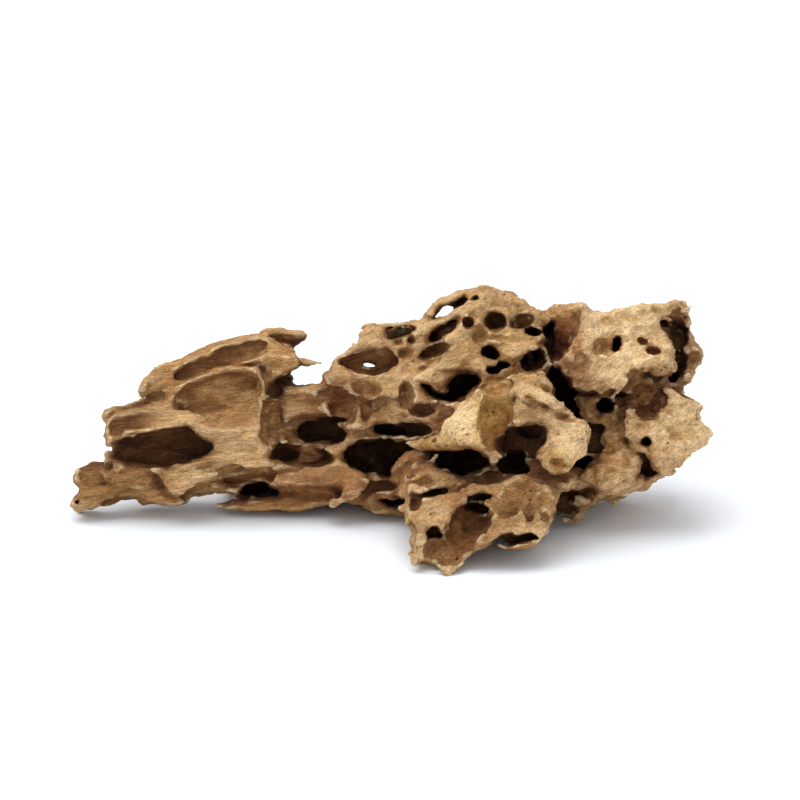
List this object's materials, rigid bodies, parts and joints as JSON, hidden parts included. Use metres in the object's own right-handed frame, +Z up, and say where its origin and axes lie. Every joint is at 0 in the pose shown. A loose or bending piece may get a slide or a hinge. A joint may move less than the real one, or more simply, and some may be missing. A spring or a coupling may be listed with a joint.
{
  "type": "honeycomb wood",
  "caption": "Eroded driftwood lump with blades, pits, windows and hollows, lying flat, for an aquarium or terrarium.",
  "frame": {"origin": "centre of the bounding box, on the surface the lump rests on", "axes": "+X along the length, from the thin forked end to the thick end; +Z up; the face with the front lobe looks along -Y"},
  "size_m": [0.2996, 0.135, 0.1087],
  "materials": {
    "driftwood": "dry, matt, open-grained"
  },
  "bodies": {
    "root": {"honeycomb_wood": "driftwood"}
  },
  "joints": []
}
